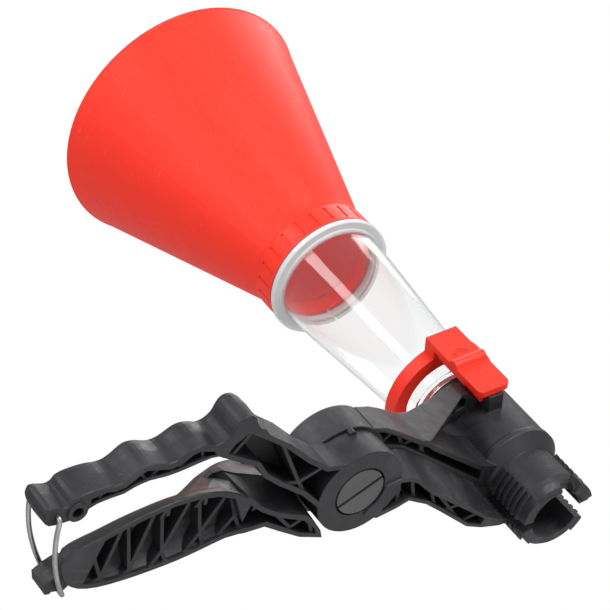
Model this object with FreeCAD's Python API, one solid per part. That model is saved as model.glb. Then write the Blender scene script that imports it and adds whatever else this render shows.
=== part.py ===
import FreeCAD, Part
import math
import os

os.makedirs("parts", exist_ok=True)

V = FreeCAD.Vector
UP = V(0, 0, 1)

# ---- Overall sizes, millimetres. Z is the funnel axis, up toward the mouth. ----
MOUTH_R = 71.0
MOUTH_Z = 344.0
THROAT_R = 31.87
CONE_WALL = 1.9
COLLAR_R = 33.5
COLLAR_Z = 198.0
COLLAR_H = 13.0
COLLAR_GROOVES = 24

# ---- Clear tube ----
TUBE_TOP_R = 29.4
TUBE_LOW_R = 20.4
TUBE_LOW_Z = 88.0
TUBE_WALL = 2.2
FLANGE_R = 34.1
FLANGE_T = 3.0
GASKET_T = 1.0
NECK_R = 18.8
NECK_BOTTOM_Z = 56.0
SPIGOT_H = 11.0
SEAL_WIRE_R = 1.0
SEAL_Z = 66.0

# ---- Socket and jaws ----
SHOULDER_Z = 29.0
SHOULDER_R = 23.8
SOCKET_R = 23.3
SOCKET_TOP_Z = 81.0
JAW_R = 18.0
JAW_BORE_R = 13.2
JAW_TEETH = 6
JAW_TOOTH_H = 2.0
UPPER_JAW = (-20.0, 148.0)
LOWER_JAW = (182.0, 322.0)

# ---- Pivot ----
PIVOT_X = 117.0
HUB_A_R = 22.0
HUB_B_R = 23.4
HUB_T = 15.7
LEVER_GAP = 0.6
HUB_FRONT_Z = 13.0
PIN_R = 6.0
PIN_CLEAR = 0.05
DISC_R = 12.0
DISC_T = 3.0
SPRING_R = 13.5
SPRING_WIRE = 1.8
SPRING_TURNS = 5
SPRING_LEG = 5.0
OPEN_ANGLE = 8.0

# ---- Handles ----
HANDLE_Z0 = 13.0
HANDLE_T = 19.0
SHELL = 2.4
RIB = 1.7

# ---- Slide ----
SLIDE_DIR = 62.6
SLIDE_TOP_Z = 100.0
SLIDE_RING_H = 7.5
SLIDE_RING_R = 29.0
SLIDE_OUT = 36.0
SLIDE_LENGTH = 45.5
SLIDE_W = 17.4
SLIDE_T = 3.4
GUIDE_W = 8.0

# ---- Wire bail ----
BAIL_WIRE = 2.2
BAIL_SPAN = 23.6
BAIL_BAR_SPAN = 14.4
BAIL_PIVOT = (275.0, -17.5)
BAIL_BAR = (249.5, -60.0)

HUB_A_TOP = HUB_FRONT_Z + HUB_T
HUB_B_Z = HUB_A_TOP + LEVER_GAP
HUB_B_TOP = HUB_B_Z + HUB_T
HANDLE_TOP = HANDLE_Z0 + HANDLE_T
HANDLE_MID = HANDLE_Z0 + HANDLE_T / 2
FLANGE_TOP = COLLAR_Z - GASKET_T
FLANGE_LOW = FLANGE_TOP - FLANGE_T


def save(name, shape):
    shape = shape.removeSplitter()
    shape.exportStep("parts/" + name + ".step")
    solids = len(shape.Solids)
    print(name, "solids", solids, "valid", shape.isValid(), "volume", round(shape.Volume))


def ring(r_out, r_in, z0, z1):
    outer = Part.makeCylinder(r_out, z1 - z0, V(0, 0, z0))
    if r_in <= 0:
        return outer
    return outer.cut(Part.makeCylinder(r_in, z1 - z0 + 2, V(0, 0, z0 - 1)))


def revolve(profile):
    points = [V(r, 0, z) for r, z in profile]
    wire = Part.makePolygon(points + [points[0]])
    return Part.Face(wire).revolve(V(0, 0, 0), UP, 360)


def inset(points, distance):
    """Move each corner of a closed counter-clockwise outline inward along its bisector."""
    moved = []
    count = len(points)
    for i in range(count):
        ax, ay = points[i - 1]
        bx, by = points[i]
        cx, cy = points[(i + 1) % count]
        l1 = math.hypot(bx - ax, by - ay)
        l2 = math.hypot(cx - bx, cy - by)
        n1 = (-(by - ay) / l1, (bx - ax) / l1)
        n2 = (-(cy - by) / l2, (cx - bx) / l2)
        sx = n1[0] + n2[0]
        sy = n1[1] + n2[1]
        grow = 2.0 / max(sx * sx + sy * sy, 1.0)
        moved.append((bx + sx * grow * distance, by + sy * grow * distance))
    return moved


def between(points, x0, x1):
    return [p for p in points if x0 < p[0] < x1]


def wire_at(points, z):
    corners = [V(x, y, z) for x, y in points]
    return Part.makePolygon(corners + [corners[0]])


def prism(points, z0, z1):
    face = Part.Face(wire_at(points, z0))
    return face.extrude(V(0, 0, z1 - z0))


def layered(points, levels):
    """Stack an outline through (height, inset) levels so its long edges are eased."""
    wires = [wire_at(inset(points, d), z) for z, d in levels]
    return Part.makeLoft(wires, True, True)


def smooth(points, steps):
    """A closed outline through the same points with a rounded run between each pair."""
    made = []
    count = len(points)
    for i in range(count):
        p0, p1, p2, p3 = points[i - 1], points[i], points[(i + 1) % count], points[(i + 2) % count]
        for k in range(steps):
            t = k / steps
            made.append(tuple(
                0.5 * (2 * b + (c - a) * t + (2 * a - 5 * b + 4 * c - d) * t * t + (3 * b - a - 3 * c + d) * t ** 3)
                for a, b, c, d in zip(p0, p1, p2, p3)))
    return made


def stack(outlines):
    """Stack (height, outline) pairs with the same number of corners into a solid."""
    return Part.makeLoft([wire_at(points, z) for z, points in outlines], True, True)


def toward(points, spine, share):
    """Draw an outline in toward a spine, keeping a share of each point's distance from it."""
    moved = []
    for x, y in points:
        best = None
        for (ax, ay), (bx, by) in zip(spine, spine[1:]):
            run = (bx - ax) ** 2 + (by - ay) ** 2
            t = max(0.0, min(1.0, ((x - ax) * (bx - ax) + (y - ay) * (by - ay)) / run))
            fx = ax + t * (bx - ax)
            fy = ay + t * (by - ay)
            gap = math.hypot(x - fx, y - fy)
            if best is None or gap < best[0]:
                best = (gap, fx, fy)
        moved.append((best[1] + share * (x - best[1]), best[2] + share * (y - best[2])))
    return moved


def ribs(pairs, thickness, z0, z1):
    solid = None
    for (x0, y0), (x1, y1) in pairs:
        length = math.hypot(x1 - x0, y1 - y0)
        box = Part.makeBox(length, thickness, z1 - z0, V(0, -thickness / 2, 0))
        box.rotate(V(0, 0, 0), UP, math.degrees(math.atan2(y1 - y0, x1 - x0)))
        box.translate(V(x0, y0, z0))
        solid = box if solid is None else solid.fuse(box)
    return solid


def wedge(a0, a1, r, z0, z1):
    """A sector about the funnel axis from angle a0 to a1, degrees."""
    sector = Part.makeCylinder(r, z1 - z0, V(0, 0, z0), UP, a1 - a0)
    sector.rotate(V(0, 0, 0), UP, a0)
    return sector


def disc_at(x, y, r, z0, z1):
    return Part.makeCylinder(r, z1 - z0, V(x, y, z0))


def swept(points, radius):
    """A round bar along straight runs joined by small balls, for bent wire."""
    solid = None
    for a, b in zip(points, points[1:]):
        run = Part.makeCylinder(radius, (b - a).Length, a, b - a)
        solid = run if solid is None else solid.fuse(run)
    for p in points[1:-1]:
        solid = solid.fuse(Part.makeSphere(radius, p))
    return solid


def ribbed_shell(outer, points, floor_z, top_z, wall, pairs, sunk):
    """Hollow a solid from below inside an outline, then put the lattice ribs back."""
    pocket = prism(inset(points, wall), floor_z - 5, top_z)
    hollow = outer.cut(pocket)
    web = ribs(pairs, RIB, floor_z + sunk, top_z + 0.2)
    web = web.common(outer)
    return hollow.fuse(web)


# ================= cone =================
collar_top = COLLAR_Z + COLLAR_H
skirt_z = collar_top + 1.5


def cone_radius(z):
    return THROAT_R + (MOUTH_R - THROAT_R) * (z - skirt_z) / (MOUTH_Z - skirt_z)


cone = revolve([
    (COLLAR_R, COLLAR_Z),
    (COLLAR_R, collar_top),
    (cone_radius(skirt_z) + 0.3, skirt_z),
    (cone_radius(skirt_z + 5), skirt_z + 5),
    (MOUTH_R - 0.4, MOUTH_Z - 1.2),
    (MOUTH_R, MOUTH_Z - 0.8),
    (MOUTH_R - 0.2, MOUTH_Z),
    (MOUTH_R - CONE_WALL + 0.2, MOUTH_Z),
    (MOUTH_R - CONE_WALL, MOUTH_Z - 0.6),
    (cone_radius(skirt_z) - CONE_WALL, skirt_z),
    (25.2, 206.0),
    (25.2, COLLAR_Z + 0.4),
    (25.6, COLLAR_Z),
    (27.3, COLLAR_Z),
    (27.3, COLLAR_Z + SPIGOT_H + 0.2),
    (29.9, COLLAR_Z + SPIGOT_H + 0.2),
    (29.9, COLLAR_Z),
])
for i in range(COLLAR_GROOVES):
    notch = Part.makeBox(2.0, 1.6, COLLAR_H - 3.0, V(COLLAR_R - 0.7, -0.8, COLLAR_Z + 1.5))
    notch.rotate(V(0, 0, 0), UP, (i + 0.5) * 360.0 / COLLAR_GROOVES)
    cone = cone.cut(notch)
save("cone", cone)

gasket = ring(FLANGE_R - 0.9, 29.9, FLANGE_TOP, COLLAR_Z)
save("cone_gasket", gasket)

# ================= clear tube =================
tube = revolve([
    (29.85, COLLAR_Z + SPIGOT_H),
    (29.85, FLANGE_TOP),
    (FLANGE_R - 0.6, FLANGE_TOP),
    (FLANGE_R, FLANGE_TOP - 0.6),
    (FLANGE_R, FLANGE_LOW + 0.6),
    (FLANGE_R - 0.6, FLANGE_LOW),
    (TUBE_TOP_R + 0.6, FLANGE_LOW),
    (TUBE_TOP_R, FLANGE_LOW - 0.8),
    (TUBE_LOW_R, TUBE_LOW_Z),
    (NECK_R, TUBE_LOW_Z - 1.2),
    (NECK_R, SEAL_Z + 1.5),
    (NECK_R - 1.9, SEAL_Z + 1.5),
    (NECK_R - 1.9, SEAL_Z - 1.5),
    (NECK_R, SEAL_Z - 1.5),
    (NECK_R, NECK_BOTTOM_Z + 0.6),
    (NECK_R - 0.6, NECK_BOTTOM_Z),
    (NECK_R - 3.4, NECK_BOTTOM_Z),
    (NECK_R - 3.4, TUBE_LOW_Z - 2.0),
    (TUBE_LOW_R - TUBE_WALL, TUBE_LOW_Z + 1.5),
    (TUBE_TOP_R - TUBE_WALL, FLANGE_LOW - 1.5),
    (27.4, FLANGE_LOW + 1.0),
    (27.4, COLLAR_Z + SPIGOT_H),
])
save("tube", tube)

neck_seal = Part.makeTorus(NECK_R + 0.1 - SEAL_WIRE_R, SEAL_WIRE_R, V(0, 0, SEAL_Z))
save("neck_seal", neck_seal)

# ================= slide =================
ring_low = SLIDE_TOP_Z - SLIDE_RING_H
ring_bore = TUBE_LOW_R + (SLIDE_TOP_Z - TUBE_LOW_Z) * 0.085 + 0.25
plate_low = SLIDE_TOP_Z - SLIDE_LENGTH
half_w = SLIDE_W / 2
slide = ring(SLIDE_RING_R, 0, ring_low, SLIDE_TOP_Z)
shoulder = Part.makeBox(SLIDE_OUT - 12, SLIDE_W, SLIDE_RING_H, V(12, -half_w, ring_low))
slide = slide.fuse(shoulder)
plate = Part.makeBox(SLIDE_T, SLIDE_W, SLIDE_LENGTH, V(SLIDE_OUT - SLIDE_T, -half_w, plate_low))
tip_edges = [e for e in plate.Edges if e.BoundBox.ZMax < plate_low + 0.01 and e.BoundBox.XLength > 1]
plate = plate.makeFillet(3.0, tip_edges)
slide = slide.fuse(plate)
skirt_gap = GUIDE_W / 2 + 0.25
for side in (-1, 1):
    y0 = skirt_gap if side > 0 else -skirt_gap - 1.8
    skirt = Part.makeBox(5.2, 1.8, SLIDE_LENGTH - 6, V(SLIDE_OUT - SLIDE_T - 5.0, y0, plate_low + 3))
    slide = slide.fuse(skirt)
ridge_z = SLIDE_TOP_Z - 23.0
ridge = Part.makeCylinder(3.4, SLIDE_W, V(SLIDE_OUT - 0.9, -half_w, ridge_z), V(0, 1, 0))
ridge = ridge.common(Part.makeBox(9, SLIDE_W, 9, V(SLIDE_OUT - SLIDE_T, -half_w, ridge_z - 4.5)))
slide = slide.fuse(ridge)
slide = slide.cut(Part.makeCylinder(ring_bore, SLIDE_RING_H + 2, V(0, 0, ring_low - 1)))
for lean in (-1, 1):
    mark = Part.makeBox(0.9, 5.4, 1.1, V(SLIDE_OUT - 0.45, -0.4, -0.55))
    mark.rotate(V(SLIDE_OUT, 0, 0), V(1, 0, 0), -38 if lean > 0 else -142)
    mark.translate(V(0, 0, ridge_z + 9.5))
    slide = slide.fuse(mark)
slide.rotate(V(0, 0, 0), UP, SLIDE_DIR)
save("slide", slide)


# ================= jaws =================
def jaw(a0, a1, near, far, nose, top):
    """Half of the split nozzle: a shell with a tapered nose and thick toothed rails along its two edges."""
    bore = JAW_BORE_R
    shell = revolve([
        (bore, 0), (nose, 0), (nose + 1.6, 1.6), (JAW_R - 0.4, 5.0), (JAW_R, 8.0), (JAW_R, top), (bore, top)])
    solid = shell.common(wedge(a0, a1, 40, -1, top + 1))
    rail = ring(JAW_R + 0.5, bore, 0, SHOULDER_Z - 1.0)
    solid = solid.fuse(rail.common(wedge(a0, a0 + near, 40, -1, SHOULDER_Z)))
    solid = solid.fuse(rail.common(wedge(a1 - far, a1, 40, -1, SHOULDER_Z)))
    pitch = (SHOULDER_Z - 7.0) / JAW_TEETH
    for i in range(JAW_TEETH):
        z0 = 4.4 + i * pitch
        tooth = ring(JAW_R + JAW_TOOTH_H, JAW_R - 0.5, z0, z0 + pitch * 0.5)
        solid = solid.fuse(tooth.common(wedge(a0, a0 + near - 1.5, 40, 0, SHOULDER_Z)))
        solid = solid.fuse(tooth.common(wedge(a1 - far + 1.5, a1, 40, 0, SHOULDER_Z)))
    return solid


upper_jaw = jaw(UPPER_JAW[0], UPPER_JAW[1], 43.0, 30.0, JAW_BORE_R + 1.5, SHOULDER_Z + 1.0)
lower_jaw = jaw(LOWER_JAW[0], LOWER_JAW[1], 26.0, 30.0, JAW_R - 1.4, SHOULDER_Z - 0.5)
upper_jaw = upper_jaw.cut(ring(40, 0, -1, 3.0).common(wedge(70, 98, 40, -1, 4)))
hook = ring(JAW_R + 1.7, JAW_BORE_R + 0.9, -1.2, 6.5).common(wedge(99, 140, 40, -2, 9))
upper_jaw = upper_jaw.fuse(hook)

# ================= lever B: socket, arm, hub and palm handle =================
socket = revolve([
    (0, SHOULDER_Z - 2.0), (JAW_R + 0.1, SHOULDER_Z - 2.0), (SHOULDER_R, SHOULDER_Z + 4.4),
    (SHOULDER_R, SHOULDER_Z + 7.2), (SOCKET_R, SHOULDER_Z + 7.8), (SOCKET_R, SOCKET_TOP_Z), (0, SOCKET_TOP_Z),
])
arm_b_line = [
    (10.0, -7.0), (23.0, -6.1), (58.6, 4.2), (70.0, 7.5), (87.0, 12.0), (97.0, 12.0), (108.0, 10.0),
    (117.0, 16.0), (110.0, 22.8), (102.3, 23.4), (93.7, 21.8), (78.6, 18.1), (69.0, 16.3), (65.5, 14.7),
    (27.0, 4.8), (10.0, 6.0),
]
arm_b_top = 52.0
arm_b = prism(arm_b_line, SHOULDER_Z, arm_b_top)
slope = Part.Face(Part.makePolygon([
    V(64, -40, arm_b_top), V(104, -40, HUB_B_TOP), V(160, -40, HUB_B_TOP), V(160, -40, 70), V(64, -40, 70),
    V(64, -40, arm_b_top)])).extrude(V(0, 100, 0))
arm_b = arm_b.cut(slope)
arm_b_ribs = [
    ((66.0, 6.4), (78.0, 18.0)), ((78.0, 18.0), (86.0, 12.0)), ((83.0, 11.0), (94.0, 21.8)),
    ((94.0, 21.8), (99.0, 12.0)), ((69.0, 16.3), (74.0, 8.6)),
]
arm_b = ribbed_shell(arm_b, arm_b_line, SHOULDER_Z, HUB_B_TOP - 2.6, SHELL, arm_b_ribs, 2.4)
arm_b = arm_b.fuse(prism([(10, -7), (25, -5.5), (29, 5.3), (10, 6)], SHOULDER_Z, arm_b_top))

gusset_line = [
    (14.0, 19.5), (27.0, 4.8), (65.5, 14.7), (69.0, 16.3), (76.0, 17.6), (67.0, 18.2), (58.0, 18.6),
    (44.0, 20.4), (30.0, 23.0), (22.0, 22.6), (14.0, 20.0),
]
gusset = prism(gusset_line, SHOULDER_Z, 74.0)
below = Part.Face(Part.makePolygon([
    V(90, -40, 20), V(71, -40, 29), V(27, -40, 61), V(0, -40, 61), V(0, -40, 20), V(90, -40, 20)
])).extrude(V(0, 100, 0))
above = Part.Face(Part.makePolygon([
    V(90, -40, 48), V(69, -40, 51), V(27, -40, 70), V(0, -40, 73), V(0, -40, 90), V(90, -40, 90), V(90, -40, 48)
])).extrude(V(0, 100, 0))
gusset = gusset.cut(below).cut(above)
gusset_cell = [
    (30.0, 8.6), (63.0, 16.2), (57.6, 16.6), (44.0, 18.4), (30.0, 21.0), (23.4, 20.4), (22.0, 16.0),
]
gusset_pocket = prism(gusset_cell, 20.0, 74.0)
roof = above.copy()
roof.translate(V(0, 0, -2.6))
gusset_pocket = gusset_pocket.cut(roof)
gusset_web = ribs([
    ((34.0, 8.0), (40.0, 21.5)), ((40.0, 21.5), (47.0, 10.0)), ((47.0, 10.0), (53.0, 19.5)),
    ((53.0, 19.5), (60.0, 13.2)), ((25.0, 10.0), (30.0, 23.0)), ((30.0, 23.0), (37.0, 8.0)),
], 1.5, 20.0, 74.0).common(gusset)
gusset = gusset.cut(gusset_pocket).fuse(gusset_web)

hub_b = disc_at(PIVOT_X, 0, HUB_B_R, HUB_B_Z, HUB_B_TOP)
neck_b_line = [
    (110.0, -23.0), (128.0, -24.0), (138.2, -24.6), (151.0, -22.4), (161.8, -21.0), (172.0, -24.0), (182.0, -27.0),
    (189.0, -25.5), (193.0, -19.5), (193.5, -11.5), (189.0, -5.0), (184.0, -3.2), (176.0, -4.4), (160.0, -5.0),
    (150.0, -1.0), (141.0, 7.0), (131.0, 18.0), (117.0, 20.0),
]
neck_b = layered(neck_b_line, [
    (HUB_B_Z, 0), (HUB_B_Z + 3, 0.4), (HUB_B_Z + 7, 1.6), (HUB_B_Z + 11, 3.6), (HUB_B_TOP, 6.5)])
ramp = Part.Face(Part.makePolygon([
    V(150, -60, HUB_B_TOP + 1), V(166, -60, HUB_B_TOP - 3), V(182, -60, HUB_B_Z + 6), V(200, -60, HUB_B_Z - 2),
    V(200, -60, HUB_B_TOP + 1), V(150, -60, HUB_B_TOP + 1)])).extrude(V(0, 120, 0))
neck_b = neck_b.cut(ramp)

wrist_rim = [
    (124.8, -25.4), (138.2, -25.4), (151.5, -22.6), (161.8, -20.2), (171.8, -24.0), (178.0, -25.0), (180.0, -20.0),
    (180.5, -15.0), (180.0, -9.0), (179.0, -4.6), (168.4, -9.9), (158.0, -12.6), (149.6, -13.4), (141.0, -13.6),
    (134.0, -17.0), (128.0, -21.4),
]
wrist_root = [
    (124.8, -24.8), (138.2, -24.8), (151.3, -22.2), (161.8, -20.8), (171.8, -23.8), (182.0, -26.8), (189.0, -25.2),
    (192.8, -19.4), (193.2, -11.6), (184.0, -3.6), (174.0, -5.0), (162.0, -5.4), (150.0, -6.4), (141.0, -10.4),
    (134.0, -15.6), (128.2, -20.2),
]
wrist = stack([(HANDLE_Z0, wrist_rim), (HUB_B_Z + 0.5, wrist_root)])
wrist_cell = [
    (129.6, -23.4), (139.0, -23.2), (151.2, -20.2), (161.6, -17.7), (168.0, -20.2), (176.0, -22.4), (176.0, -9.0),
    (168.0, -12.4), (158.0, -15.0), (149.8, -15.8), (141.0, -16.4), (132.0, -20.6),
]
palm_line = [
    (163.0, -14.5), (164.0, -19.0), (171.8, -23.8), (180.8, -27.0), (190.8, -33.5), (200.6, -39.4), (212.1, -45.0),
    (224.0, -50.0), (236.0, -53.8), (246.0, -54.6), (253.4, -52.0), (259.0, -46.0), (261.0, -39.4), (254.0, -32.8),
    (246.6, -27.8), (238.0, -21.0), (228.8, -14.8), (218.0, -8.6), (206.5, -4.4), (196.0, -2.6), (186.0, -3.4),
    (176.0, -6.6), (168.0, -10.0),
]
palm_spine = [(172.0, -15.0), (192.0, -18.0), (208.0, -24.0), (226.0, -32.5), (244.0, -42.0)]
palm_rise = [
    (0.0, 0.975), (0.8, 1.0), (3.5, 0.955), (6.5, 0.85), (9.0, 0.70), (11.2, 0.50), (12.6, 0.30), (13.3, 0.14)]
palm_skin = smooth(palm_line, 2)
palm = stack([(HANDLE_Z0 + z, toward(palm_skin, palm_spine, share)) for z, share in palm_rise])
palm_cell_line = inset(palm_line, SHELL)[2:21]
palm_hollow = [(-4.0, 1.0), (2.0, 1.0), (4.5, 0.93), (7.0, 0.80), (9.0, 0.60), (10.4, 0.35)]
palm_cell = stack([
    (HANDLE_Z0 + z, toward(palm_cell_line, palm_spine, share)) for z, share in palm_hollow])
palm_cell = palm_cell.cut(Part.makeBox(30, 60, 40, V(244.5, -70, 0)))
handle_b_ribs = [
    ((245.0, -37.0), (236.0, -49.5)), ((236.0, -49.5), (233.1, -20.5)), ((236.0, -49.5), (232.0, -54.0)),
    ((236.0, -49.5), (241.0, -55.0)), ((233.1, -20.5), (222.9, -45.2)), ((222.9, -45.2), (219.5, -11.0)),
    ((222.9, -45.2), (218.5, -49.5)), ((222.9, -45.2), (228.5, -52.5)), ((219.5, -11.0), (209.7, -35.5)),
    ((209.7, -35.5), (203.0, -4.0)), ((209.7, -35.5), (204.5, -42.5)), ((209.7, -35.5), (214.5, -47.0)),
    ((203.0, -4.0), (193.6, -26.0)), ((193.6, -26.0), (186.0, -5.0)), ((193.6, -26.0), (189.0, -33.5)),
    ((193.6, -26.0), (199.5, -39.5)), ((186.0, -5.0), (178.6, -17.0)), ((178.6, -17.0), (170.5, -10.0)),
    ((178.6, -17.0), (172.0, -25.0)), ((178.6, -17.0), (186.0, -31.0)), ((162.0, -12.0), (146.0, -21.0)),
    ((146.0, -21.0), (140.0, -15.0)), ((146.0, -21.0), (152.0, -24.0)), ((137.0, -17.0), (130.0, -25.0)),
]
web_b = ribs(handle_b_ribs, RIB, HANDLE_Z0 + 0.9, HANDLE_Z0 + 13.0)
slant = Part.Face(Part.makePolygon([
    V(0, -14, 0), V(0, -14, HANDLE_Z0 + 0.5), V(0, 14, HANDLE_Z0 + 5.5), V(0, 14, 0), V(0, -14, 0)
])).extrude(V(96, 0, 0))
slant.rotate(V(0, 0, 0), UP, -21.0)
slant.translate(V(172, -14, 0))
web_b = web_b.cut(slant)

heel_foot = [
    (152.0, -22.0), (161.8, -19.4), (172.0, -23.0), (182.0, -26.5), (194.0, -32.5), (208.0, -35.0), (219.0, -28.0),
    (222.0, -20.0), (221.5, -12.5), (214.0, -7.6), (202.0, -4.2), (190.0, -3.2), (178.0, -6.4), (166.0, -12.4),
    (152.0, -15.0),
]
heel_top = [
    (150.0, -15.5), (153.0, -15.6), (157.0, -15.8), (161.0, -16.2), (165.0, -16.6), (168.0, -17.0), (170.0, -16.4),
    (171.2, -14.6), (171.5, -12.4), (170.5, -10.2), (168.0, -9.0), (165.0, -8.4), (160.0, -8.0), (155.0, -8.0),
    (150.0, -8.2),
]
heel_rise = [
    (0.0, 0.0), (0.13, 0.08), (0.23, 0.17), (0.32, 0.27), (0.42, 0.365), (0.55, 0.48), (0.71, 0.62), (0.87, 0.79),
    (0.97, 0.93), (1.0, 1.0)]
heel_z = HANDLE_Z0 + 1.0
heel = stack([
    (heel_z + f * (HUB_B_TOP - heel_z), [
        (ax + s * (bx - ax), ay + s * (by - ay)) for (ax, ay), (bx, by) in zip(heel_foot, heel_top)])
    for f, s in heel_rise])
handle_b = wrist.fuse(palm).fuse(heel)
web_b = web_b.common(handle_b)
handle_b = handle_b.cut(prism(wrist_cell, HANDLE_Z0 - 5, HANDLE_Z0 + 12)).cut(palm_cell).fuse(web_b)

post_z0 = HANDLE_MID - 5.5
post_line = [
    (244.0, -49.0), (249.0, -58.3), (255.0, -59.3), (255.3, -60.4), (257.6, -60.8), (260.0, -56.5),
    (257.0, -52.0), (252.0, -47.0),
]
post = prism(post_line, post_z0, post_z0 + 11)

lever_b = socket.fuse(arm_b).fuse(gusset).fuse(hub_b).fuse(neck_b).fuse(handle_b).fuse(post)
lever_b = lever_b.fuse(upper_jaw)
throat = revolve([
    (0, SHOULDER_Z - 30), (JAW_BORE_R, SHOULDER_Z - 30), (JAW_BORE_R, 42.0), (NECK_R - 3.4, NECK_BOTTOM_Z - 6),
    (NECK_R - 3.4, NECK_BOTTOM_Z), (NECK_R + 0.1, NECK_BOTTOM_Z), (NECK_R + 0.1, SOCKET_TOP_Z - 1),
    (NECK_R + 1.1, SOCKET_TOP_Z + 0.1), (NECK_R + 1.1, SOCKET_TOP_Z + 5), (0, SOCKET_TOP_Z + 5),
])
lever_b = lever_b.cut(throat)
guide = Part.makeBox(9.6, GUIDE_W, 25.0, V(22.8, -GUIDE_W / 2, 53.0))
guide.rotate(V(0, 0, 0), UP, SLIDE_DIR)
lever_b = lever_b.fuse(guide)

# ================= lever A: lower jaw, arm, hub and finger handle =================
arm_a_line = [
    (12.6, -13.6), (18.0, -15.8), (29.0, -17.2), (39.3, -16.8), (60.8, -9.1), (73.3, -4.9), (85.4, -3.2),
    (90.6, -7.6), (99.5, -13.4), (108.0, -12.0), (104.0, 4.0), (97.0, 8.0), (91.0, 9.2), (85.4, 8.2),
    (72.9, 2.5), (58.0, -1.9), (42.9, -6.4), (28.0, -11.0), (19.5, -12.2), (15.4, -11.4),
]
arm_a_back = arm_a_line[:9] + [
    (108.0, -12.0), (104.0, 6.0), (97.0, 11.6), (91.0, 13.0), (85.4, 12.8), (72.9, 9.2), (58.0, 4.8), (42.9, 0.2),
    (28.0, -5.6), (19.5, -11.6), (15.4, -11.4),
]
arm_a = stack([(HUB_FRONT_Z - 1.0, arm_a_line), (HUB_A_TOP, arm_a_back)])
arm_a_ribs = [
    ((96.0, 8.0), (89.5, -7.0)), ((92.3, 1.9), (98.0, -12.0)), ((89.6, 9.0), (80.0, -4.4)),
    ((74.0, 3.4), (64.0, -8.4)), ((70.0, 1.6), (46.0, -13.6)), ((57.8, -9.6), (47.0, -5.2)),
    ((42.0, -15.4), (33.0, -9.6)),
]
arm_a_cell = between(arm_a_line, 27.0, 105.0)
arm_a = ribbed_shell(arm_a, arm_a_cell, HUB_FRONT_Z - 1.0, HUB_A_TOP - 2.6, 1.8, arm_a_ribs, 2.0)

hub_a = disc_at(PIVOT_X, 0, HUB_A_R, HUB_FRONT_Z, HUB_A_TOP)
neck_a_line = [
    (118.0, -20.0), (128.0, -17.5), (137.5, -9.0), (150.0, -3.0), (166.0, 1.6), (177.0, 5.6), (184.5, 11.2),
    (196.2, 13.3), (206.4, 15.2), (204.6, 23.0), (198.6, 30.8), (183.0, 26.6), (171.5, 23.2), (156.0, 16.6),
    (143.0, 12.6), (135.0, 14.0), (126.0, 19.0), (116.0, 20.0),
]
neck_a = prism(neck_a_line, HANDLE_Z0, HUB_A_TOP)
neck_a_ribs = [
    ((178.0, 25.0), (154.9, 3.2)), ((172.0, 0.6), (154.9, 3.2)), ((154.9, 3.2), (142.0, -8.0)),
    ((154.9, 3.2), (144.0, 13.0)), ((200.5, 14.0), (195.0, 30.0)),
]
neck_a = ribbed_shell(neck_a, neck_a_line, HANDLE_Z0, HUB_A_TOP - 2.6, SHELL, neck_a_ribs, 1.0)

grip_a_line = [
    (188.0, 12.0), (196.2, 13.3), (207.3, 15.0), (213.7, 12.6), (218.9, 9.6), (224.5, 6.4), (230.6, 3.6),
    (237.6, 1.4), (243.4, -2.2), (247.0, -5.4), (251.4, -7.4), (258.2, -11.0), (262.0, -15.0), (264.5, -18.2),
    (270.0, -20.8), (276.5, -22.8), (280.6, -20.2), (281.6, -16.8), (280.6, -14.4), (277.8, -13.8), (273.4, -13.4),
    (271.5, -12.2), (270.9, -9.8), (268.2, -7.2), (264.2, -5.0), (260.4, -3.4), (256.6, -2.2), (253.2, -1.6), (250.0, 0.0),
    (247.6, 3.0), (245.6, 6.4), (242.8, 9.0), (239.0, 10.0), (235.4, 10.0), (231.4, 10.4), (228.0, 12.2),
    (225.4, 15.2), (223.0, 18.0), (219.4, 20.2), (215.6, 20.8), (211.8, 20.8), (208.8, 22.4), (207.0, 25.4),
    (206.8, 29.0), (206.2, 32.6), (204.2, 35.2), (201.2, 36.3), (198.0, 35.4), (195.4, 32.6), (192.0, 30.2),
    (186.0, 27.4),
]
grip_levels = [(0.0, 0.7), (0.7, 0.0), (9.5, -0.4), (15.5, 0.0), (17.8, 0.7), (HANDLE_T, 1.8)]
grip_skin = smooth(grip_a_line, 2)
grip_a = stack([(HANDLE_Z0 + z, inset(grip_skin, d)) for z, d in grip_levels])
grip_cell = [
    (209.5, 16.4), (214.8, 14.6), (220.0, 11.6), (225.5, 8.4), (231.4, 5.8), (238.2, 3.4), (244.0, 0.0),
    (247.6, -3.2), (252.2, -5.4), (258.0, -8.4), (261.6, -11.0), (262.6, -8.2), (256.4, -4.6), (252.4, -4.0),
    (248.2, -1.8), (245.4, 1.8), (243.6, 4.8), (241.4, 6.8), (235.0, 7.6), (230.4, 8.0), (226.2, 10.0),
    (223.6, 13.2), (221.6, 15.8), (218.6, 17.6), (211.8, 18.0),
]
grip_pocket = prism(grip_cell, HANDLE_Z0 - 5, HANDLE_TOP - 4)
grip_ribs = ribs([
    ((214.0, 12.0), (219.0, 20.5)), ((225.0, 6.0), (222.0, 18.0)), ((225.0, 6.0), (233.0, 10.0)),
    ((238.0, 1.0), (234.0, 10.5)), ((238.0, 1.0), (245.5, 6.5)), ((248.0, -6.0), (246.0, 5.0)),
    ((248.0, -6.0), (256.0, -2.0)), ((258.0, -11.0), (257.0, -2.0)),
], 1.3, HANDLE_Z0 + 1.0, HANDLE_TOP - 3.8).common(grip_a)
neck_room = prism(inset(neck_a_line, SHELL), HANDLE_Z0 - 5, HUB_A_TOP - 2.6)
grip_a = grip_a.cut(grip_pocket).cut(neck_room).fuse(grip_ribs)
boss = disc_at(266.6, -14.6, 4.6, HANDLE_Z0 - 0.8, HANDLE_TOP - 1)

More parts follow.
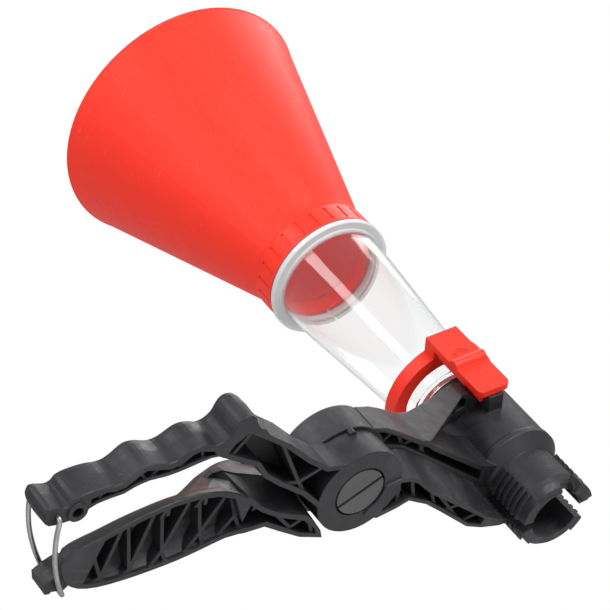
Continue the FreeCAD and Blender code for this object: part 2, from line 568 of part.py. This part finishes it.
lever_a = arm_a.fuse(hub_a).fuse(neck_a).fuse(grip_a).fuse(boss).fuse(lower_jaw)
lever_a = lever_a.cut(disc_at(266.6, -14.6, 2.5, HANDLE_Z0 - 3, HANDLE_TOP + 3))
lever_a = lever_a.cut(disc_at(BAIL_PIVOT[0], BAIL_PIVOT[1], BAIL_WIRE / 2 + 0.1, HANDLE_Z0 - 3, HANDLE_TOP + 3))
lever_a = lever_a.cut(Part.makeCylinder(JAW_BORE_R, SHOULDER_Z + 2, V(0, 0, -1)))
lever_a = lever_a.cut(revolve([
    (0, SHOULDER_Z - 2.4), (JAW_R + 0.5, SHOULDER_Z - 2.4), (SHOULDER_R + 0.4, SHOULDER_Z + 4.2),
    (SHOULDER_R + 0.4, SHOULDER_Z + 10), (0, SHOULDER_Z + 10)]))
stop_nub = disc_at(124.6, 21.0, 1.8, HUB_A_TOP - 3.0, HUB_A_TOP)
lever_a = lever_a.fuse(stop_nub)

# ================= pivot =================
spring_room = SPRING_R + SPRING_WIRE / 2 + 1.2
spring_core = SPRING_R - SPRING_WIRE / 2 - 1.2
room_a = disc_at(PIVOT_X, 0, spring_room, HUB_FRONT_Z + 6.0, HUB_A_TOP + 1)
room_a = room_a.cut(disc_at(PIVOT_X, 0, spring_core, HUB_FRONT_Z, HUB_A_TOP + 2))
room_b = disc_at(PIVOT_X, 0, spring_room, HUB_B_Z - 1, HUB_B_TOP - 3.0)
room_b = room_b.cut(disc_at(PIVOT_X, 0, spring_core, HUB_B_Z - 2, HUB_B_TOP))
lever_a = lever_a.cut(room_a)
lever_b = lever_b.cut(room_b)
leg_room = SPRING_WIRE / 2 + 0.15
leg_end = SPRING_R + SPRING_LEG + 0.8
leg_swing = leg_end * math.sin(math.radians(OPEN_ANGLE + 1.0))
spring_low = HUB_FRONT_Z + 7.4
spring_high = HUB_B_TOP - 4.4
notch_a = Part.makeBox(
    leg_end - SPRING_R, 2 * leg_room + leg_swing, HUB_A_TOP - spring_low + 3,
    V(PIVOT_X + SPRING_R, -leg_room - leg_swing, spring_low - leg_room))
notch_a = notch_a.cut(disc_at(PIVOT_X, 0, spring_core, HUB_FRONT_Z, HUB_A_TOP + 5))
notch_b = Part.makeBox(
    leg_end - SPRING_R, 2 * leg_room, spring_high - HUB_B_Z + 1 + leg_room,
    V(PIVOT_X + SPRING_R, -leg_room, HUB_B_Z - 1))
lever_a = lever_a.cut(notch_a)
lever_b = lever_b.cut(notch_b)
disc_pit = disc_at(PIVOT_X, 0, DISC_R + 0.9, HUB_FRONT_Z - 3, HUB_FRONT_Z + DISC_T + PIN_CLEAR)
lever_a = lever_a.cut(disc_pit)
lever_a = lever_a.cut(disc_at(PIVOT_X, 0, PIN_R + PIN_CLEAR, HUB_FRONT_Z - 3, HUB_A_TOP + 3))
lever_b = lever_b.cut(disc_at(PIVOT_X, 0, PIN_R, HUB_B_Z - 3, HUB_B_TOP + 3))
nut_pit = disc_at(PIVOT_X, 0, 10.4, HUB_B_TOP - 2.0, HUB_B_TOP + 3)
lever_b = lever_b.cut(nut_pit)

pin = disc_at(PIVOT_X, 0, DISC_R, HUB_FRONT_Z - 0.2, HUB_FRONT_Z + DISC_T)
slot = Part.makeBox(2 * DISC_R + 2, 1.8, 1.6, V(-DISC_R - 1, -0.9, HUB_FRONT_Z - 0.3))
slot.rotate(V(0, 0, 0), UP, 132)
slot.translate(V(PIVOT_X, 0, 0))
pin = pin.cut(slot)
pin = pin.fuse(disc_at(PIVOT_X, 0, PIN_R, HUB_FRONT_Z + DISC_T - 0.5, HUB_B_TOP - 0.4))
pin = pin.cut(disc_at(PIVOT_X, 0, 2.4, HUB_B_TOP - 12, HUB_B_TOP + 1))
save("pivot_pin", pin)

washer = ring(PIN_R + 3.0, PIN_R + 0.05, HUB_A_TOP, HUB_B_Z)
washer.translate(V(PIVOT_X, 0, 0))
save("pivot_washer", washer)

clip = disc_at(PIVOT_X, 0, 9.6, HUB_B_TOP - 2.0, HUB_B_TOP - 0.4)
clip = clip.cut(disc_at(PIVOT_X, 0, PIN_R, HUB_B_TOP - 3, HUB_B_TOP + 1))
save("pivot_clip", clip)

rise = (spring_high - spring_low) / SPRING_TURNS
coil = Part.makeHelix(rise, spring_high - spring_low, SPRING_R)
coil.translate(V(0, 0, spring_low))
start = coil.Edges[0].valueAt(coil.Edges[0].FirstParameter)
section = Part.Wire([Part.makeCircle(SPRING_WIRE / 2, start, V(0, 1, rise / (2 * math.pi * SPRING_R)))])
spring = coil.makePipeShell([section], True, True)
spring = Part.Solid(spring) if spring.ShapeType == "Shell" else spring
for z in (spring_low, spring_high):
    spring = spring.fuse(Part.makeSphere(SPRING_WIRE / 2, V(SPRING_R, 0, z)))
    spring = spring.fuse(Part.makeCylinder(SPRING_WIRE / 2, SPRING_LEG, V(SPRING_R, 0, z), V(1, 0, 0)))
spring.translate(V(PIVOT_X, 0, 0))
save("pivot_spring", spring)

save("lever_a", lever_a)
save("lever_b", lever_b)

# ================= wire bail =================
px, py = BAIL_PIVOT
bx, by = BAIL_BAR
closing = (BAIL_SPAN - BAIL_BAR_SPAN) / 2
leg = [
    (px, py, 0.0), (px - 1.0, py - 4.6, 0.0), (px - 4.0, py - 13.0, 0.04), (px - 8.6, py - 22.0, 0.14),
    (px - 14.8, py - 31.0, 0.38), (px - 20.6, py - 38.0, 0.70), (bx, by, 1.0),
]
near = [V(x, y, HANDLE_MID - BAIL_SPAN / 2 + share * closing) for x, y, share in leg]
far = [V(x, y, HANDLE_MID + BAIL_SPAN / 2 - share * closing) for x, y, share in leg]
stub_near = V(px, py, HANDLE_MID - 5.0)
stub_far = V(px, py, HANDLE_MID + 5.0)
bail = swept([stub_near] + near + list(reversed(far)) + [stub_far], BAIL_WIRE / 2)
save("bail", bail)
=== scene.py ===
import bpy
import math
from mathutils import Matrix, Vector


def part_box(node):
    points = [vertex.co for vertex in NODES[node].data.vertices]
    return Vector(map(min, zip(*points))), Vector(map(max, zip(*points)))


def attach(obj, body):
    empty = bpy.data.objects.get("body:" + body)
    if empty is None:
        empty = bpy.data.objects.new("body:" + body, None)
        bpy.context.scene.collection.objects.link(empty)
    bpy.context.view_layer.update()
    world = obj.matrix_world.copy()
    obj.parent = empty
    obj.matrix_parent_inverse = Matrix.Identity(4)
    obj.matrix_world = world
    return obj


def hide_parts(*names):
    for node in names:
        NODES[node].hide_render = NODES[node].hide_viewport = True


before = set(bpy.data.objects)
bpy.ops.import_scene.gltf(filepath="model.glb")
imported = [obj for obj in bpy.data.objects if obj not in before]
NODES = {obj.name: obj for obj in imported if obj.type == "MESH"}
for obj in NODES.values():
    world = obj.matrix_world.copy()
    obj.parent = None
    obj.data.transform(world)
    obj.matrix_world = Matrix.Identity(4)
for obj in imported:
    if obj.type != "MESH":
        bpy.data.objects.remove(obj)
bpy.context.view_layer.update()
scene = bpy.context.scene
scene.view_settings.view_transform = "Standard"

MM = 0.001
WHITE = (1, 1, 1, 1)

# Height band of the tube's flange, metres, and the clear plastic's run-out on each side of it. Inside the
# band the clear plastic keeps only part of its transmission and renders pale: painted light standing in for
# the reflections and see-through light of the clear flange.
FLANGE_LOW = 0.194
FLANGE_TOP = 0.197
FLANGE_FADE_LOW = 0.002
FLANGE_FADE_TOP = 0.001
FLANGE_PAINTED_TRANSMISSION = 0.30

# The bail wire, as in the part: pivot, bar, wire radius and how far each leg closes in at the bar.
BAIL_R = 1.1 * MM
BAIL_PIVOT = (275.0 * MM, -17.5 * MM)
BAIL_BAR = (249.5 * MM, -60.0 * MM)
BAIL_CLOSING = 4.6 * MM
BAIL_STUB = 5.0 * MM
BAIL_BEND = 3.0 * MM
BAIL_BAR_BEND = 2.5 * MM

# Camera pose and lens, metres and millimetres.
CAMERA_PLACE = (0.9434, 0.5013, -0.6629)
RIGHT = Vector((-0.7272, 0.4352, -0.5308))
UPWARD = Vector((0.0712, 0.8169, 0.5724))
BACK = Vector((0.6827, 0.3785, -0.6251))
LENS_MM = 159.3
SENSOR_MM = 36.0

# Stage: a floor well below the object, and how strong the white surroundings are when seen and as light.
FLOOR_Z = -1.9
FLOOR_RADIUS = 7.0
FLOOR_SIDES = 64
FLOOR_GLOW = 0.35
WORLD_SEEN = 1.0
WORLD_LIGHT = 0.42
TARGET = Vector((0.115, -0.005, 0.15))

# Name, distance right, up and back from the target in camera axes, size, power in watts.
LIGHTS = [
    ("key", 0.55, 0.9, 0.8, (0.55, 0.55), 13.5),
    ("fill", -1.0, 0.1, 1.0, (0.9, 0.9), 4.6),
    ("rim", 0.3, 0.9, -0.9, (0.8, 0.6), 6.0),
    ("low", 0.2, -1.1, 0.6, (0.8, 0.8), 0.6),
    ("strip", -0.98, 1.06, 0.32, (0.5, 0.7), 5.5),
]


# ---------------------------------------------------------------- node helpers
def new_material(name):
    mat = bpy.data.materials.new(name)
    mat.use_nodes = True
    nt = mat.node_tree
    bsdf = nt.nodes["Principled BSDF"]
    return mat, nt, bsdf


def add(nt, kind, **values):
    node = nt.nodes.new(kind)
    for key, value in values.items():
        setattr(node, key, value)
    return node


def coords(nt, scale=(1, 1, 1)):
    source = add(nt, "ShaderNodeTexCoord")
    mapping = add(nt, "ShaderNodeMapping")
    mapping.inputs["Scale"].default_value = scale
    nt.links.new(source.outputs["Object"], mapping.inputs["Vector"])
    return mapping.outputs["Vector"]


def noise(nt, vector, scale, detail=4.0, rough=0.55, distortion=0.0):
    node = add(nt, "ShaderNodeTexNoise")
    node.inputs["Scale"].default_value = scale
    node.inputs["Detail"].default_value = detail
    node.inputs["Roughness"].default_value = rough
    node.inputs["Distortion"].default_value = distortion
    nt.links.new(vector, node.inputs["Vector"])
    return node.outputs["Fac"]


def ramp(nt, value, stops):
    node = add(nt, "ShaderNodeValToRGB")
    els = node.color_ramp.elements
    while len(els) < len(stops):
        els.new(0.5)
    for el, (pos, col) in zip(els, stops):
        el.position = pos
        el.color = (*col, 1) if isinstance(col, tuple) else (col, col, col, 1)
    nt.links.new(value, node.inputs["Fac"])
    return node.outputs["Color"]


def mix(nt, fac, a, b):
    node = add(nt, "ShaderNodeMix", data_type="RGBA")
    for socket, value in ((node.inputs["Factor"], fac), (node.inputs["A"], a), (node.inputs["B"], b)):
        if isinstance(value, bpy.types.NodeSocket):
            nt.links.new(value, socket)
        else:
            socket.default_value = value if isinstance(value, float) else (*value, 1)
    return node.outputs["Result"]


def math_node(nt, op, a, b=0.5, clamp=False):
    node = add(nt, "ShaderNodeMath", operation=op, use_clamp=clamp)
    for socket, value in zip(node.inputs, (a, b)):
        if isinstance(value, bpy.types.NodeSocket):
            nt.links.new(value, socket)
        else:
            socket.default_value = value
    return node.outputs["Value"]


def bump(nt, bsdf, layers, edge=0.0):
    """Stack (height, distance in metres, strength) layers into the normal."""
    normal = None
    if edge > 0:
        bevel = add(nt, "ShaderNodeBevel", samples=4)
        bevel.inputs["Radius"].default_value = edge
        normal = bevel.outputs["Normal"]
    for height, distance, strength in layers:
        node = add(nt, "ShaderNodeBump")
        node.inputs["Distance"].default_value = distance
        node.inputs["Strength"].default_value = strength
        nt.links.new(height, node.inputs["Height"])
        if normal is not None:
            nt.links.new(normal, node.inputs["Normal"])
        normal = node.outputs["Normal"]
    nt.links.new(normal, bsdf.inputs["Normal"])


def worn_edges(nt, low, high):
    geometry = add(nt, "ShaderNodeNewGeometry")
    return ramp(nt, geometry.outputs["Pointiness"], [(low, 0.0), (high, 1.0)])


# ---------------------------------------------------------------- materials
def red_plastic(name, shade=1.0, grain=1.0):
    """Orange-red polypropylene with a fine satin grain, faint flow marks and hairline scuffs."""
    mat, nt, bsdf = new_material(name)
    plain = coords(nt)
    cloud = noise(nt, plain, 14.0, 3.0)
    fine = noise(nt, plain, 1500.0, 3.0, 0.6)
    mid = noise(nt, plain, 260.0, 4.0)
    flow = noise(nt, coords(nt, (1, 1, 0.06)), 210.0, 5.0, 0.65)
    hair = noise(nt, coords(nt, (1.0, 0.05, 0.4)), 900.0, 2.0, 0.5, 0.4)
    scuff = ramp(nt, hair, [(0.66, 0.0), (0.72, 1.0)])
    deep, pale, flowed = [tuple(c * shade for c in tint) for tint in (
        (0.93, 0.026, 0.010), (0.97, 0.038, 0.018), (0.98, 0.055, 0.028))]
    base = mix(nt, cloud, deep, pale)
    base = mix(nt, ramp(nt, flow, [(0.45, 0.0), (0.75, 0.22)]), base, flowed)
    base = mix(nt, math_node(nt, "MULTIPLY", scuff, 0.10), base, (0.97, 0.30, 0.22))
    nt.links.new(base, bsdf.inputs["Base Color"])
    rough = ramp(nt, mid, [(0.3, 0.38), (0.7, 0.50)])
    nt.links.new(rough, bsdf.inputs["Roughness"])
    bsdf.inputs["Specular IOR Level"].default_value = 0.34
    bsdf.inputs["Subsurface Weight"].default_value = 0.08
    bsdf.inputs["Subsurface Radius"].default_value = (0.004, 0.0008, 0.0004)
    bump(nt, bsdf, [(fine, 0.00004 * grain, 0.45), (flow, 0.00012, 0.25), (mid, 0.00008, 0.3)], edge=0.0005)
    return mat


def black_plastic(name):
    """Charcoal glass-filled plastic: fibre mottle, semi-matt skin, pale rubbed edges and scuffs."""
    mat, nt, bsdf = new_material(name)
    plain = coords(nt)
    cloud = noise(nt, plain, 35.0, 4.0, 0.6)
    fine = noise(nt, plain, 1300.0, 4.0, 0.65)
    mid = noise(nt, plain, 230.0, 4.0, 0.6)
    fibre = noise(nt, coords(nt, (0.35, 1.0, 1.0)), 750.0, 3.0, 0.55, 0.8)
    hair = noise(nt, coords(nt, (0.06, 1.0, 1.0)), 700.0, 2.0, 0.5, 0.5)
    scuff = ramp(nt, hair, [(0.64, 0.0), (0.71, 1.0)])
    patch = ramp(nt, cloud, [(0.48, 0.0), (0.66, 1.0)])
    base = mix(nt, mid, (0.0085, 0.0086, 0.0104), (0.0150, 0.0152, 0.0188))
    marks = math_node(nt, "MULTIPLY", math_node(nt, "MULTIPLY", scuff, patch), 0.4)
    base = mix(nt, marks, base, (0.10, 0.10, 0.105))
    rub = math_node(nt, "MULTIPLY", worn_edges(nt, 0.52, 0.60), patch)
    base = mix(nt, math_node(nt, "MULTIPLY", rub, 0.30), base, (0.11, 0.11, 0.115))
    nt.links.new(base, bsdf.inputs["Base Color"])
    skin = math_node(nt, "ADD", mid, math_node(nt, "MULTIPLY", cloud, 0.6))
    rough = ramp(nt, skin, [(0.45, 0.36), (1.1, 0.58)])
    nt.links.new(rough, bsdf.inputs["Roughness"])
    bsdf.inputs["Specular IOR Level"].default_value = 0.5
    bump(nt, bsdf, [(fine, 0.00005, 0.5), (fibre, 0.00009, 0.35), (mid, 0.00014, 0.30)], edge=0.0008)
    return mat


def clear_plastic(name):
    """Clear moulded tube: glossy, a faint draw along its length, fine scratches, and a flange drawn part
    opaque and pale as painted light for the reflections and see-through light of the clear flange.
    """
    mat, nt, bsdf = new_material(name)
    plain = coords(nt)
    draw = noise(nt, coords(nt, (1, 1, 0.04)), 160.0, 3.0, 0.5)
    hair = noise(nt, coords(nt, (1.0, 0.3, 0.05)), 900.0, 2.0, 0.5, 0.6)
    scratch = ramp(nt, hair, [(0.67, 0.0), (0.73, 1.0)])
    smear = noise(nt, plain, 45.0, 3.0)
    bsdf.inputs["Base Color"].default_value = (0.975, 0.985, 0.985, 1)
    place = add(nt, "ShaderNodeSeparateXYZ")
    nt.links.new(add(nt, "ShaderNodeTexCoord").outputs["Object"], place.inputs["Vector"])
    spread = 4.0
    # Painted light: the flange band keeps only part of its transmission, so the clear flange renders pale
    # in place of its reflections and see-through light.
    band = [(FLANGE_LOW - FLANGE_FADE_LOW, 1.0), (FLANGE_LOW, FLANGE_PAINTED_TRANSMISSION), (FLANGE_TOP, FLANGE_PAINTED_TRANSMISSION),
            (FLANGE_TOP + FLANGE_FADE_TOP, 1.0)]
    height = math_node(nt, "MULTIPLY", place.outputs["Z"], spread)
    clear = ramp(nt, height, [(z * spread, weight) for z, weight in band])
    nt.links.new(clear, bsdf.inputs["Transmission Weight"])
    bsdf.inputs["IOR"].default_value = 1.47
    soft = math_node(nt, "MULTIPLY", smear, 0.6)
    wear = math_node(nt, "ADD", soft, math_node(nt, "MULTIPLY", scratch, 0.4))
    rough = ramp(nt, wear, [(0.25, 0.015), (0.9, 0.12)])
    nt.links.new(rough, bsdf.inputs["Roughness"])
    bump(nt, bsdf, [(draw, 0.0002, 0.25), (scratch, 0.00002, 0.4)])
    return mat


def steel(name, tint, rough_lo, rough_hi, along=(1, 1, 0.05)):
    mat, nt, bsdf = new_material(name)
    plain = coords(nt)
    lines = noise(nt, coords(nt, along), 1400.0, 3.0, 0.6)
    stain = noise(nt, plain, 120.0, 4.0, 0.6)
    bsdf.inputs["Metallic"].default_value = 1.0
    base = mix(nt, ramp(nt, stain, [(0.4, 0.0), (0.75, 1.0)]), tint, tuple(c * 0.72 for c in tint))
    nt.links.new(base, bsdf.inputs["Base Color"])
    nt.links.new(ramp(nt, lines, [(0.3, rough_lo), (0.7, rough_hi)]), bsdf.inputs["Roughness"])
    bump(nt, bsdf, [(lines, 0.00003, 0.4)], edge=0.0003)
    return mat


def rubber(name, shade):
    mat, nt, bsdf = new_material(name)
    plain = coords(nt)
    fine = noise(nt, plain, 1100.0, 4.0)
    dust = noise(nt, plain, 90.0, 4.0)
    clean = (shade, shade, shade * 1.04)
    base = mix(nt, ramp(nt, dust, [(0.45, 0.0), (0.8, 0.5)]), clean, (0.16, 0.155, 0.15))
    nt.links.new(base, bsdf.inputs["Base Color"])
    nt.links.new(ramp(nt, fine, [(0.3, 0.55), (0.7, 0.75)]), bsdf.inputs["Roughness"])
    bump(nt, bsdf, [(fine, 0.00006, 0.5)])
    return mat


def blackened(name):
    """Oxide-blacked steel: satin, clouded, with paler edges."""
    mat, nt, bsdf = new_material(name)
    plain = coords(nt)
    fine = noise(nt, plain, 1200.0, 4.0, 0.6)
    cloud = noise(nt, plain, 70.0, 4.0)
    base = mix(nt, cloud, (0.020, 0.020, 0.022), (0.034, 0.034, 0.037))
    base = mix(nt, math_node(nt, "MULTIPLY", worn_edges(nt, 0.53, 0.62), 0.35), base, (0.16, 0.16, 0.165))
    nt.links.new(base, bsdf.inputs["Base Color"])
    nt.links.new(ramp(nt, fine, [(0.3, 0.34), (0.7, 0.5)]), bsdf.inputs["Roughness"])
    bump(nt, bsdf, [(fine, 0.00004, 0.5)], edge=0.0005)
    return mat


def dress(node, mat):
    obj = NODES[node]
    if not obj.data.materials:
        obj.data.materials.append(mat)
    for i in range(len(obj.material_slots)):
        obj.material_slots[i].material = mat


CONE_RED = red_plastic("cone_red")
SLIDE_RED = red_plastic("slide_red", shade=0.94, grain=0.7)
BLACK = black_plastic("charcoal_plastic")
CLEAR = clear_plastic("clear_tube")
WIRE = steel("drawn_wire", (0.50, 0.50, 0.50), 0.28, 0.46)
SPRING = steel("oiled_spring", (0.30, 0.30, 0.31), 0.25, 0.40)
CLIP = steel("clip_steel", (0.42, 0.42, 0.43), 0.25, 0.42)
# The gasket's grey rubber is drawn at 0.20, paler than its own darker grey: painted light that lifts the
# clear flange seen over it.
GASKET = rubber("grey_gasket_painted_pale", 0.20)
SEAL = rubber("black_seal", 0.02)
PIN = blackened("blacked_pin")

dress("cone", CONE_RED)
dress("slide", SLIDE_RED)
dress("lever_a", BLACK)
dress("lever_b", BLACK)
dress("tube", CLEAR)
dress("cone_gasket", GASKET)
dress("neck_seal", SEAL)
dress("pivot_pin", PIN)
dress("pivot_washer", CLIP)
dress("pivot_clip", CLIP)
dress("pivot_spring", SPRING)
dress("bail", WIRE)

# ---------------------------------------------------------------- wire bail
def wire_curve(name, points, radius):
    """A drawn wire along a smooth line through given bends."""
    data = bpy.data.curves.new(name, "CURVE")
    data.dimensions = "3D"
    data.bevel_depth = radius
    data.bevel_resolution = 6
    data.use_fill_caps = True
    spline = data.splines.new("NURBS")
    spline.points.add(len(points) - 1)
    for p, co in zip(spline.points, points):
        p.co = (*co, 1)
    spline.order_u = 3
    spline.use_endpoint_u = True
    spline.resolution_u = 10
    obj = bpy.data.objects.new(name, data)
    scene.collection.objects.link(obj)
    return obj


def bail_points():
    """The wire's bends, from one stub through the near leg, the bar and the far leg to the other stub."""
    lo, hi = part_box("bail")
    z0, z1 = lo.z + BAIL_R, hi.z - BAIL_R
    mid = (z0 + z1) / 2
    px, py = BAIL_PIVOT
    leg = [(0, 0, 0), (-1.4, -6.0, 0), (-4.0, -13.0, 0.04), (-8.6, -22.0, 0.14), (-14.8, -31.0, 0.38),
           (-20.4, -37.6, 0.70)]
    near = [Vector((px + x * MM, py + y * MM, z0 + share * BAIL_CLOSING)) for x, y, share in leg]
    far = [Vector((px + x * MM, py + y * MM, z1 - share * BAIL_CLOSING)) for x, y, share in leg]
    start = [Vector((px, py, mid - BAIL_STUB)), Vector((px, py, z0 + BAIL_BEND))]
    end = [Vector((px, py, z1 - BAIL_BEND)), Vector((px, py, mid + BAIL_STUB))]
    n0, n1 = z0 + BAIL_CLOSING, z1 - BAIL_CLOSING
    bar = [Vector((*BAIL_BAR, z)) for z in (n0, n0 + BAIL_BAR_BEND, n1 - BAIL_BAR_BEND, n1)]
    return start + near + bar + list(reversed(far)) + end


bail = wire_curve("bail_wire", bail_points(), BAIL_R)
bail.data.materials.append(WIRE)
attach(bail, "wire_bail")
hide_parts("bail")

# ---------------------------------------------------------------- camera
turn = Matrix((RIGHT, UPWARD, BACK)).transposed()
cam_data = bpy.data.cameras.new("camera")
cam_data.lens = LENS_MM
cam_data.sensor_width = SENSOR_MM
cam_data.clip_start = 0.05
cam_data.clip_end = 30.0
cam = bpy.data.objects.new("camera", cam_data)
cam.matrix_world = Matrix.Translation(CAMERA_PLACE) @ turn.to_4x4()
scene.collection.objects.link(cam)
scene.camera = cam

# ---------------------------------------------------------------- floor, world and light
def floor():
    mat, nt, bsdf = new_material("pale_floor")
    grain = noise(nt, coords(nt), 3.0, 4.0)
    nt.links.new(mix(nt, grain, (0.82, 0.82, 0.82), (0.86, 0.86, 0.86)), bsdf.inputs["Base Color"])
    bsdf.inputs["Roughness"].default_value = 0.8
    bsdf.inputs["Emission Color"].default_value = WHITE
    bsdf.inputs["Emission Strength"].default_value = FLOOR_GLOW
    data = bpy.data.meshes.new("floor")
    turns = [2 * math.pi * i / FLOOR_SIDES for i in range(FLOOR_SIDES)]
    rim = [(FLOOR_RADIUS * math.cos(t), FLOOR_RADIUS * math.sin(t), 0) for t in turns]
    data.from_pydata(rim, [], [tuple(range(FLOOR_SIDES))])
    data.materials.append(mat)
    obj = bpy.data.objects.new("floor", data)
    obj.location = (0, 0, FLOOR_Z)
    scene.collection.objects.link(obj)


floor()

world = bpy.data.worlds.new("studio")
scene.world = world
world.use_nodes = True
wt = world.node_tree
paths = wt.nodes.new("ShaderNodeLightPath")
seen = wt.nodes.new("ShaderNodeMath")
seen.operation = "MAXIMUM"
wt.links.new(paths.outputs["Is Camera Ray"], seen.inputs[0])
wt.links.new(paths.outputs["Is Transmission Ray"], seen.inputs[1])
level = wt.nodes.new("ShaderNodeMapRange")
level.inputs["To Min"].default_value = WORLD_LIGHT
level.inputs["To Max"].default_value = WORLD_SEEN
wt.links.new(seen.outputs[0], level.inputs["Value"])
wt.links.new(level.outputs["Result"], wt.nodes["Background"].inputs["Strength"])
wt.nodes["Background"].inputs["Color"].default_value = WHITE


def soft_light(name, right, up, back, size, power):
    data = bpy.data.lights.new(name, "AREA")
    data.shape = "RECTANGLE"
    data.size, data.size_y = size
    data.energy = power
    obj = bpy.data.objects.new(name, data)
    place = TARGET + RIGHT * right + UPWARD * up + BACK * back
    obj.location = place
    obj.rotation_mode = "QUATERNION"
    obj.rotation_quaternion = (TARGET - place).to_track_quat("-Z", "Y")
    scene.collection.objects.link(obj)


for light in LIGHTS:
    soft_light(*light)
